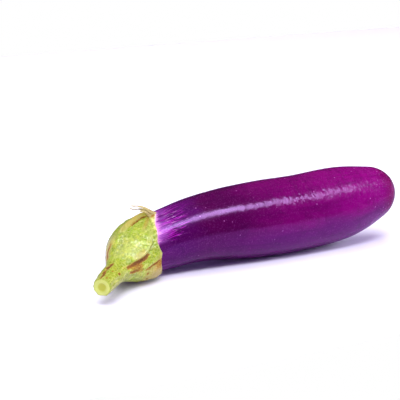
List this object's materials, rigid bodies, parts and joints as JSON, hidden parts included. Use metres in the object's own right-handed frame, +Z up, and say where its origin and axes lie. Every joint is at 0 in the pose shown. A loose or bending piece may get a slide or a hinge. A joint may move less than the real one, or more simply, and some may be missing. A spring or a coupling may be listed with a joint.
{
  "type": "eggplant",
  "caption": "Long purple eggplant lying on its side, with a lobed green calyx, dry curled tips and a short cut stem.",
  "frame": {"origin": "on the surface that the fruit lies on, inside the flat spot that it rests on", "axes": "+X along the fruit from the stem to the blossom end, +Z up, so the stem bends towards -Y"},
  "size_m": [0.2351, 0.0717, 0.0493],
  "materials": {
    "skin": "glossy purple fruit skin",
    "calyx": "fleshy green calyx with corky marks",
    "stem": "fresh green stalk with a cut end"
  },
  "bodies": {
    "root": {"fruit": "skin", "calyx": "calyx", "stem": "stem"}
  },
  "joints": []
}
